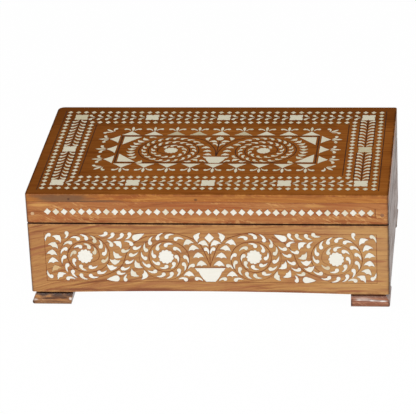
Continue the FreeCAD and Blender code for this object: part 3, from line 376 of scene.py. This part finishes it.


# Top board. One wide board glued on the lid frame; its upper face is darker, partly from stain and partly as
# painted shade, and was rubbed dull; its edges were left the colour of the rails. A dark oval patch and two
# small knots show on its front edge.
seam_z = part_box("lid_top_board")[0][2]
top_z = lid_box[1][2]
# Darker tones for the upper face: partly stain, partly painted shade.
top_tones = (colour(92, 46, 13), colour(125, 70, 24), colour(149, 89, 36), colour(172, 110, 52))
top_lie = ((0.02, 0.02, top_z), (90, 0, 0), 0.0)
umber = colour(98, 52, 18)
top_marks = [((-0.16, 0.0, top_z), (0.12, 0.3, 0.2), umber, 0.45),
             ((0.0, 0.092, top_z), (0.9, 0.06, 0.2), umber, 0.6)]
top_wood = wood("top_wood", top_tones, top_lie, lid_box, (0.7, 0.0), (0.009, 0.25), 0.006, 0.35, 0.4, 0.6,
                flush=(0.45, colour(130, 66, 27)), marks=top_marks)
dusky = colour(122, 84, 54)
knot = colour(84, 48, 30)
edge_marks = [((-0.121, front_y, seam_z + 0.0032), (0.034, 0.02, 0.0060), dusky, 0.95),
              ((-0.088, front_y, seam_z + 0.0010), (0.026, 0.02, 0.0014), dusky, 0.8),
              ((-0.1155, front_y, seam_z + 0.0026), (0.0016, 0.02, 0.0014), knot, 0.9),
              ((-0.0082, front_y, seam_z + 0.0022), (0.0018, 0.02, 0.0016), knot, 0.7),
              ((-0.120, front_y, seam_z), (0.05, 0.02, 0.0007), knot, 0.8),
              ((0.0, front_y, seam_z + 0.0006), (0.07, 0.02, 0.0012), flame, 0.6)]
edge_lie = ((-0.05, front_y, top_z), (0, -1, 0), 0.2)
edge_tones = (colour(114, 54, 17), colour(155, 89, 32), colour(180, 114, 49), colour(210, 151, 74))
edge_wood = wood("edge_wood", edge_tones, edge_lie, lid_box, (0.4, 0.28), (0.0036, 0.6), 0.006, 0.4, 0.45,
                 0.6, flush=(0.4, flame), curl=0.4, marks=edge_marks)
top_mesh = dress("lid_top_board", edge_wood, top_wood, lid_inside)
rise = facing(top_mesh)[:, 2]
slot = np.where(rise > 0.6, 1, np.where(rise < -0.6, 2, 0))
top_mesh.polygons.foreach_set("material_index", slot.astype(np.int32))


# Hinges. Two butt hinges of cast brass, let into the back rail and the back board and dulled in patches.
# Their pins and screws are steel, and so are the pins that hold the bottom board; all have a little rust.
def brass_finish():
    material, shader, place = finish("brass", 0.34)
    shader.inputs["Metallic"].default_value = 1.0
    dull = place.noise((180, 180, 180), 4.0, 0.6).ramp(0.42, 0.68)
    dull.mix(colour(206, 168, 92), colour(128, 92, 46)).feed(shader.inputs["Base Color"])
    (0.3 + 0.3 * dull).feed(shader.inputs["Roughness"])
    return material


def steel_finish():
    material, shader, place = finish("steel", 0.36)
    shader.inputs["Metallic"].default_value = 1.0
    rust = place.noise((420, 420, 420), 3.0).ramp(0.56, 0.74)
    rust.mix(colour(176, 174, 170), colour(104, 78, 60)).feed(shader.inputs["Base Color"])
    (0.3 + 0.35 * rust).feed(shader.inputs["Roughness"])
    return material


brass = brass_finish()
steel = steel_finish()
for side in ("left", "right"):
    dress("hinge_" + side + "_base_leaf", brass)
    dress("hinge_" + side + "_lid_leaf", brass)
    dress("hinge_" + side + "_pin", steel)
for node in ("hinge_base_screws", "hinge_lid_screws", "bottom_pins"):
    dress(node, steel)


# Bone inlay. Every piece was sawn and filed by hand from thin bone and set in dark lac, so each has its
# own tone from white to ivory, with faint lines along the bone. A few have taken up brown stain.
def bone_finish(name, pale, ivory, stained):
    material, shader, place = finish(name, 0.36, 0.35)
    piece = place.node("ShaderNodeAttribute", {"attribute_name": "piece_tone"}, (), 2)
    lines = place.noise((90, 900, 900), 3.0)
    smear = place.noise((60, 60, 60), 3.0) - 0.5
    tone = 0.5 * piece + 0.2 * (lines - 0.5) + 0.25 * smear * piece
    shade = tone.shades([(0.0, pale), (0.5, ivory), (1.0, stained)])
    shade.feed(shader.inputs["Base Color"])
    (0.36 + 0.2 * (lines - 0.5)).feed(shader.inputs["Roughness"])
    bump = lines.node("ShaderNodeBump", (), {"Strength": 0.15, "Distance": 0.00004, "Height": lines})
    bump.feed(shader.inputs["Normal"])
    return material


def piece_tones(node, draw, stains):
    """Writes one tone for each separate piece of a node, on the corners of the piece: 0 to 1 at random,
    near 0 for the broad pieces, which were cut from the best bone, more for the outer diamonds of the
    top, which hands have darkened, and up to 2 for the pieces whose middle is at the place of a stain."""
    mesh = nodes[node].data
    places = np.empty(3 * len(mesh.vertices), np.float32)
    mesh.vertices.foreach_get("co", places)
    places = places.reshape(-1, 3)
    joined = np.unique(np.round(places * 1e6).astype(np.int64), axis=0, return_inverse=True)[1].reshape(-1)
    corners = np.empty(3 * len(mesh.polygons), np.int32)
    mesh.polygons.foreach_get("vertices", corners)
    corners = joined[corners].reshape(-1, 3)
    label = np.arange(joined.max() + 1)
    while True:
        lowest = label[corners].min(axis=1)
        after = label.copy()
        for k in range(3):
            np.minimum.at(after, corners[:, k], lowest)
        if (after == label).all():
            break
        label = after
    label = label[joined]
    tones = 0.75 * draw.random(label.max() + 1) ** 3
    for piece in np.unique(label):
        own = places[label == piece]
        middle = (own.min(axis=0) + own.max(axis=0)) / 2
        if node.endswith(broad):
            tones[piece] *= 0.25
        elif node == "top_outer_diamonds":
            tones[piece] += 0.35
        for place, tone in stains:
            if np.linalg.norm(middle - np.array(place)) < stain_reach:
                tones[piece] = tone
    tone = mesh.attributes.new("piece_tone", "FLOAT", "POINT")
    tone.data.foreach_set("value", tones[label].astype(np.float32))


broad = ("rosettes", "vase", "teardrops", "squares", "triangles", "corners", "diamond")
stain_reach = 0.0035
front_shift, panel_shift = 0.0017, 0.0010
front_stains = [((x + front_shift, front_y, foot_z + height), tone) for x, height, tone in (
    (-0.1313, 0.0230, 1.9), (-0.0893, 0.0314, 1.25), (-0.1153, 0.0360, 1.2), (-0.0983, 0.0395, 1.15),
    (-0.0988, 0.0500, 1.15), (0.097, 0.0250, 1.3), (0.05, 0.0135, 1.35))]
top_stains = [((x + panel_shift, y, top_z), tone) for x, y, tone in (
    (-0.0395, 0.035, 1.4), (-0.0195, 0.035, 1.3), (0.02, 0.035, 1.2), (0.1284, 0.0, 1.1),
    (-0.129, 0.071, 0.9))]
front_bone = bone_finish("front_bone", colour(243, 241, 231), colour(224, 216, 190), colour(214, 176, 122))
rail_bone = bone_finish("rail_bone", colour(238, 235, 222), colour(222, 212, 184), colour(206, 172, 122))
# The top bone is darker and yellower than the front bone, partly from stain and partly as painted shade.
top_bone = bone_finish("top_bone", colour(208, 201, 175), colour(188, 177, 140), colour(150, 128, 84))
draw = np.random.default_rng(5)
for node in sorted(nodes):
    if node.startswith("front_") or node == "lid_front_diamonds":
        piece_tones(node, draw, front_stains)
        dress(node, rail_bone if node == "lid_front_diamonds" else front_bone)
    elif node.startswith("top_"):
        piece_tones(node, draw, top_stains)
        dress(node, top_bone)


# Lac lines. The stems of the scrolls, the guard lines and the border of the panel were scratched into the
# wood and filled with hot lac, reddish brown on the front and nearly black on the lid, and rubbed flush.
def lac_tree():
    """Fills scratched lines with lac: a flat strip along every curve, of an uneven width."""
    tree = bpy.data.node_groups.new("lac_lines", "GeometryNodeTree")
    sockets = (("Lines", "INPUT", "NodeSocketGeometry"), ("Line Width", "INPUT", "NodeSocketFloat"),
               ("Line Depth", "INPUT", "NodeSocketFloat"), ("Step", "INPUT", "NodeSocketFloat"),
               ("Unevenness", "INPUT", "NodeSocketFloat"), ("Seed", "INPUT", "NodeSocketFloat"),
               ("Turn", "INPUT", "NodeSocketVector"), ("Place", "INPUT", "NodeSocketVector"),
               ("Lac", "INPUT", "NodeSocketMaterial"), ("Strips", "OUTPUT", "NodeSocketGeometry"))
    for name, way, kind in sockets:
        tree.interface.new_socket(name=name, in_out=way, socket_type=kind)
    given = tree.nodes.new("NodeGroupInput").outputs
    start = Term(given["Lines"])
    even = start.node("GeometryNodeResampleCurve", {"mode": "LENGTH"},
                      {"Curve": start, "Length": Term(given["Step"])})
    upright = even.node("GeometryNodeSetCurveNormal", {"mode": "Z_UP"}, {"Curve": even})
    place = Term(tree.nodes.new("GeometryNodeInputPosition").outputs[0])
    waver = place.node("ShaderNodeTexNoise", {"noise_dimensions": "4D"},
                       {"Vector": place, "W": Term(given["Seed"]), "Scale": 260.0, "Detail": 2.0})
    drawn = Term(tree.nodes.new("GeometryNodeInputRadius").outputs[0])
    width = drawn * (1 + Term(given["Unevenness"]) * (waver - 0.5))
    section = start.node("GeometryNodeCurvePrimitiveQuadrilateral", (),
                         {"Width": Term(given["Line Width"]), "Height": Term(given["Line Depth"])})
    strip = start.node("GeometryNodeCurveToMesh", (),
                       {"Curve": upright, "Profile Curve": section, "Scale": width, "Fill Caps": True})
    move = {"Geometry": strip, "Translation": Term(given["Place"]), "Rotation": Term(given["Turn"])}
    laid = start.node("GeometryNodeTransform", (), move)
    whole = start.node("GeometryNodeRealizeInstances", (), {"Geometry": laid})
    coated = start.node("GeometryNodeSetMaterial", (), {"Geometry": whole, "Material": Term(given["Lac"])})
    coated.feed(tree.nodes.new("NodeGroupOutput").inputs["Strips"])
    return tree


def lac_finish(name, dark, light):
    material, shader, place = finish(name, 0.6, 0.04)
    worn = place.noise((160, 160, 160), 4.0, 0.65)
    worn.ramp(0.3, 0.7).mix(dark, light).feed(shader.inputs["Base Color"])
    (0.5 + 0.3 * worn).feed(shader.inputs["Roughness"])
    bump = worn.node("ShaderNodeBump", (), {"Strength": 0.3, "Distance": 0.00005, "Height": worn})
    bump.feed(shader.inputs["Normal"])
    return material


def lac_strips(name, lines, body, lac, width, seed, turn, place, unevenness=0.7):
    """Draws the lines, given in millimetres on the face, fills them and fixes them on a body. A third
    number at a point is the share of the width that is left there."""
    given = {"Lac": lac, "Line Width": width / 1000, "Line Depth": lac_depth / 1000, "Step": lac_step / 1000,
             "Unevenness": unevenness, "Seed": seed, "Turn": turn, "Place": place}
    drawn = bpy.data.curves.new(name, "CURVE")
    drawn.dimensions = "3D"
    for points in lines:
        spline = drawn.splines.new("BEZIER")
        spline.bezier_points.add(len(points) - 1)
        for knot_point, (u, v, *share) in zip(spline.bezier_points, points):
            knot_point.co = (u / 1000, v / 1000, 0)
            knot_point.radius = share[0] if share else 1.0
            kind = "AUTO" if len(points) > 2 else "VECTOR"
            knot_point.handle_left_type = knot_point.handle_right_type = kind
    holder = bpy.data.objects.new(name + "_path", drawn)
    bpy.context.scene.collection.objects.link(holder)
    fill = holder.modifiers.new("lac", "NODES")
    fill.node_group = lac_lines
    for socket in lac_lines.interface.items_tree:
        if socket.name in given:
            fill[socket.identifier] = given[socket.name]
    seen = holder.evaluated_get(bpy.context.evaluated_depsgraph_get())
    mesh = bpy.data.meshes.new_from_object(seen)
    mesh.name = name
    holder.modifiers.remove(fill)
    bpy.data.objects.remove(holder)
    bpy.data.curves.remove(drawn)
    piece = bpy.data.objects.new(name, mesh)
    bpy.context.scene.collection.objects.link(piece)
    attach(piece, body)


def spiral(centre, start, way, radii, shares=None):
    """Points a quarter turn apart round a centre, from a starting angle in degrees."""
    points = []
    for k, radius in enumerate(radii):
        turn = math.radians(start + way * 90 * k)
        u, v = centre[0] + radius * math.cos(turn), centre[1] + radius * math.sin(turn)
        points.append((u, v, shares[k] if shares else 1.0))
    return points


def mirrored(points):
    return [(-u, *rest) for u, *rest in points]


def frame_lines(half_u, half_v, width):
    """Four sides of a rectangle, long enough to close its corners."""
    u, v = half_u + width / 2, half_v + width / 2
    return [[(-u, half_v), (u, half_v)], [(-u, -half_v), (u, -half_v)],
            [(half_u, -v), (half_u, v)], [(-half_u, -v), (-half_u, v)]]


lac_lines = lac_tree()
front_lac = lac_finish("front_lac", colour(114, 61, 36), colour(148, 90, 53))
top_lac = lac_finish("top_lac", colour(50, 22, 6), colour(84, 44, 14))
front_line, top_line, border_line = 0.66, 0.9, 1.3
lac_depth, lac_step = 0.06, 1.5
upright, flat = (math.radians(90), 0, 0), (0, 0, 0)

outer_stem = [(-52.8, 20), (-62.8, 14.5), (-66.8, 10.5), (-70.8, 3.5), (-72.8, -2.5), (-76.8, -9.5),
              (-84.8, -14.5), (-92.8, -18, 0.6)]
outer_turns = (21.5, 22, 20.5, 21, 15, 15, 13.5, 12, 7.7)
left_shares, right_shares = (0.4, 0.3, 0.8, 1, 1, 1, 1, 0.9, 0.4), (0.6, 0.9, 0.8, 1, 0.5, 0.4, 0.5, 0.5, 0.3)
left_stem = outer_stem + spiral((-106.2, 0.8), -90, -1, outer_turns, left_shares)
right_stem = outer_stem + spiral((-106.2, -0.4), -90, -1, outer_turns, right_shares)
inner_stem = [(0.2, -7.5), (-2.8, 0.5), (-5.8, 8.5), (-9.8, 14.5), (-15.8, 18.5), (-22.8, 21), (-32.8, 23.5)]
inner_stem += spiral((-37.2, 1), 90, 1, (22.5, 23, 22, 19.4, 14.4, 14.6, 14.2, 11.5, 8.0),
                     (0.9, 0.5, 0.5, 1, 1, 1, 1, 0.9, 0.4))
front_lines = [left_stem, mirrored(right_stem), inner_stem, mirrored(inner_stem)]
front_lines += [[(0, -8), (0, 3), (0, 13)], [(-13.5, -8.6), (13.5, -8.6)]]
front_lines += [[(u, v, 0.6) for u, v in line] for line in frame_lines(140.2, 22.5, front_line)]
front_middle = (front_shift, front_y, foot_z + 0.03295)
lac_strips("front_lac_lines", front_lines, "base", front_lac, front_line, 3.0, upright, front_middle)
rail_end = [(141.2, 3.9), (141.2, -4.1)]
rail_middle = (0, front_y, rail_z + 0.0106)
lac_strips("rail_lac_line", [rail_end], "lid", front_lac, front_line, 4.0, upright, rail_middle)

scroll_radii = [30.4 - 2.05 * k for k in range(11)]
scroll_stem = [(-0.2, -14.4), (-2, -1.3), (-6, 8.7), (-11, 16.7), (-18, 22.7), (-29, 27.2)]
scroll_stem += spiral((-40.1, -2.7), 90, 1, scroll_radii)
panel_lines = [scroll_stem, mirrored(scroll_stem), [(0, -14.4), (0, 3), (0, 20)]]
panel_middle = (panel_shift, 0, top_z)
lac_strips("panel_lac_lines", panel_lines, "lid", top_lac, top_line, 7.0, flat, panel_middle)
fern_lines, fern_start, fern_end = (121.8, 128.4, 135.0), 6.3, 64.6
chevron_starts, chevron_length, chevron_row, chevron_share = (6.3, 70.5), 51.6, 70.9, 0.55
guards = ((143.8, 86), (112.2, 55))
top_lines = []
for end in (-1, 1):
    for half in (-1, 1):
        top_lines += [[(end * x, half * fern_start), (end * x, half * fern_end)] for x in fern_lines]
        for start in chevron_starts:
            top_lines.append([(end * u, half * chevron_row, chevron_share)
                              for u in (start, start + chevron_length)])
    top_lines += [[(end * u, -v), (end * u, v)] for u, v in guards]
lac_strips("top_lac_lines", top_lines, "lid", top_lac, top_line, 5.0, flat, (0, 0, top_z))
border_lines = frame_lines(86.4, 28.9, border_line)
lac_strips("panel_lac_border", border_lines, "lid", top_lac, border_line, 6.0, flat, panel_middle, 0.5)


# Table, light and camera. A white table under a white sky that gives little light of its own, two round
# soft lamps in front, and a camera with a long lens that stands a little to the right.
def seen_directly(tree):
    """1 for what the camera sees straight, in a reflection or through glass, and 0 for other light."""
    path = tree.nodes.new("ShaderNodeLightPath")
    straight = Term(path.outputs["Is Camera Ray"])
    return straight.most(Term(path.outputs["Is Glossy Ray"])).most(Term(path.outputs["Is Transmission Ray"]))


def stage_floor():
    mesh = bpy.data.meshes.new("table")
    reach = 6.0
    glow_share = 0.985
    corners = [(-reach, -reach, 0), (reach, -reach, 0), (reach, reach, 0), (-reach, reach, 0)]
    mesh.from_pydata(corners, [], [(0, 1, 2, 3)])
    floor = bpy.data.objects.new("table", mesh)
    bpy.context.scene.collection.objects.link(floor)
    material = bpy.data.materials.new("table_white")
    material.use_nodes = True
    tree = material.node_tree
    shader = tree.nodes["Principled BSDF"]
    shader.inputs["Base Color"].default_value = (0.9, 0.9, 0.9, 1)
    shader.inputs["Roughness"].default_value = 0.9
    shader.inputs["Specular IOR Level"].default_value = 0.0
    glow = tree.nodes.new("ShaderNodeEmission")
    blend = tree.nodes.new("ShaderNodeMixShader")
    (glow_share * seen_directly(tree)).feed(blend.inputs[0])
    tree.links.new(shader.outputs[0], blend.inputs[1])
    tree.links.new(glow.outputs[0], blend.inputs[2])
    tree.links.new(blend.outputs[0], tree.nodes["Material Output"].inputs["Surface"])
    mesh.materials.append(material)


def stage_world():
    world = bpy.data.worlds.new("studio")
    world.use_nodes = True
    bpy.context.scene.world = world
    background = world.node_tree.nodes["Background"]
    sky_light = 0.3
    (sky_light + (1 - sky_light) * seen_directly(world.node_tree)).feed(background.inputs["Strength"])
    background.inputs["Color"].default_value = (1, 1, 1, 1)


def lamp(name, place, aim, size, watts):
    light = bpy.data.lights.new(name, "AREA")
    light.shape = "DISK"
    light.size = size
    light.energy = watts
    holder = bpy.data.objects.new(name, light)
    holder.location = place
    holder.rotation_euler = (Vector(aim) - Vector(place)).to_track_quat("-Z", "Y").to_euler()
    bpy.context.scene.collection.objects.link(holder)


def photo_camera():
    """Long lens, from the front and slightly from the right, held a little askew."""
    image_width, focal_pixels = 416, 2625.3
    sideways, upward, distance = -0.01146, 0.04309, 2.314
    fitted_foot = 0.011
    yaw, pitch, roll = math.radians(6.92), math.radians(24.616), math.radians(-2.603)
    camera = bpy.data.cameras.new("camera")
    camera.sensor_width = 36.0
    camera.lens = focal_pixels / image_width * camera.sensor_width
    holder = bpy.data.objects.new("camera", camera)
    aim = Matrix.Rotation(yaw, 4, "Z") @ Matrix.Rotation(math.radians(90) - pitch, 4, "X")
    stand_height = foot_z - fitted_foot
    back_off = Matrix.Rotation(roll, 4, "Z") @ Matrix.Translation((sideways, upward, distance))
    holder.matrix_world = Matrix.Translation((0, 0, stand_height)) @ aim @ back_off
    bpy.context.scene.collection.objects.link(holder)
    bpy.context.scene.camera = holder


stage_floor()
stage_world()
box_middle = (0, 0, 0.05)
lamp("key", (-0.8, -1.5, 2.2), box_middle, 1.4, 35)
lamp("fill", (0.35, -1.75, 1.95), box_middle, 1.0, 21)
photo_camera()
bpy.context.scene.view_settings.view_transform = "Standard"
